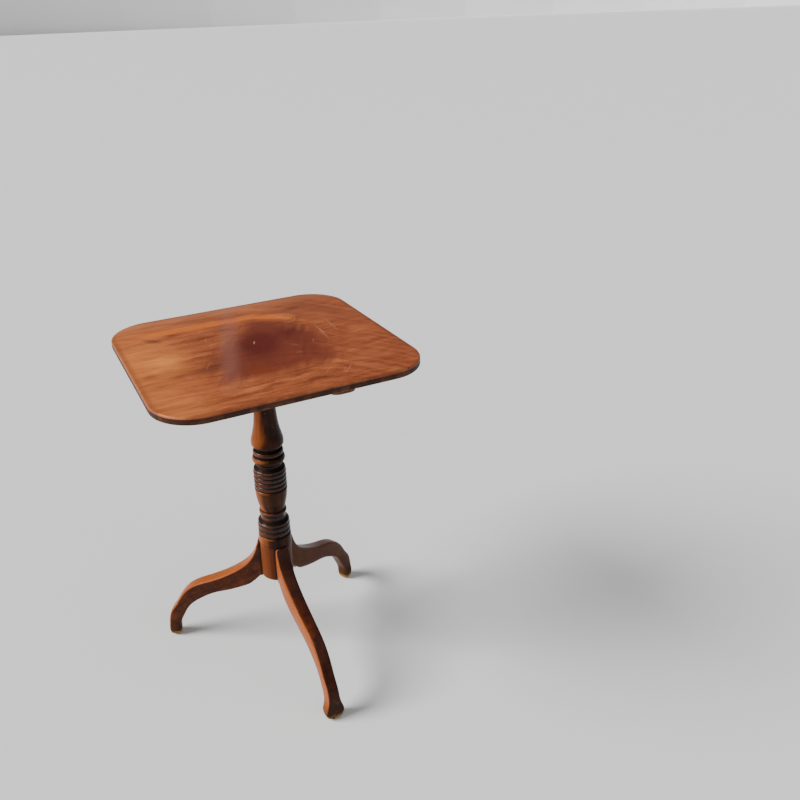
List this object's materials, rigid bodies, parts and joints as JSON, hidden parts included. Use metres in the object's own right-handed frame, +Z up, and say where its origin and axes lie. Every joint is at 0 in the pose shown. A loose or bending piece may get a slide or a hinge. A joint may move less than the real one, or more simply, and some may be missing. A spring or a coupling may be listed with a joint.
{
  "type": "tilt top table",
  "caption": "Small tripod table: a rounded oblong top tilts on a turned pillar with S-curved legs and locks with a brass catch.",
  "frame": {"origin": "on the floor, under the middle of the table's bounding box", "axes": "+X to the right along the long side of the top, +Y to the back, away from the front leg, +Z up"},
  "size_m": [0.485, 0.4931, 0.71],
  "materials": {
    "top_mahogany": "satin polish",
    "turned_mahogany": "satin polish",
    "leg_mahogany": "satin polish",
    "bearer_wood": "dull",
    "block_wood": "dull",
    "brass": "aged",
    "iron": "black, lightly rusted",
    "steel": "dull"
  },
  "bodies": {
    "stand": {"pillar": "turned_mahogany", "tenon_wedge": "block_wood", "leg_front": "leg_mahogany", "leg_left": "leg_mahogany", "leg_right": "leg_mahogany", "spider_plate": "iron", "spider_plate_screws": "steel", "top_block": "block_wood", "strike_plate": "brass", "strike_screws": "brass"},
    "tilting_top": {"table_top": "top_mahogany", "bearer_left": "bearer_wood", "bearer_right": "bearer_wood", "bearer_screws": "steel", "catch_plate": "brass", "catch_screws": "brass", "catch_case": "brass", "catch_spring": "steel"},
    "bolt": {"catch_bolt": "brass", "catch_knob": "brass"}
  },
  "joints": [
    {"name": "top_tilt", "type": "hinge", "parent": "stand", "child": "tilting_top", "pos_m": [0, 0.06205, 0.684], "axis": [-1, 0, 0], "range_deg": [0, 90]},
    {"name": "bolt_slide", "type": "slide", "parent": "tilting_top", "child": "bolt", "axis": [0, 1, 0], "range_m": [0, 0.0095], "stiffness_N_per_m": 400, "springref_m": 0.012}
  ]
}
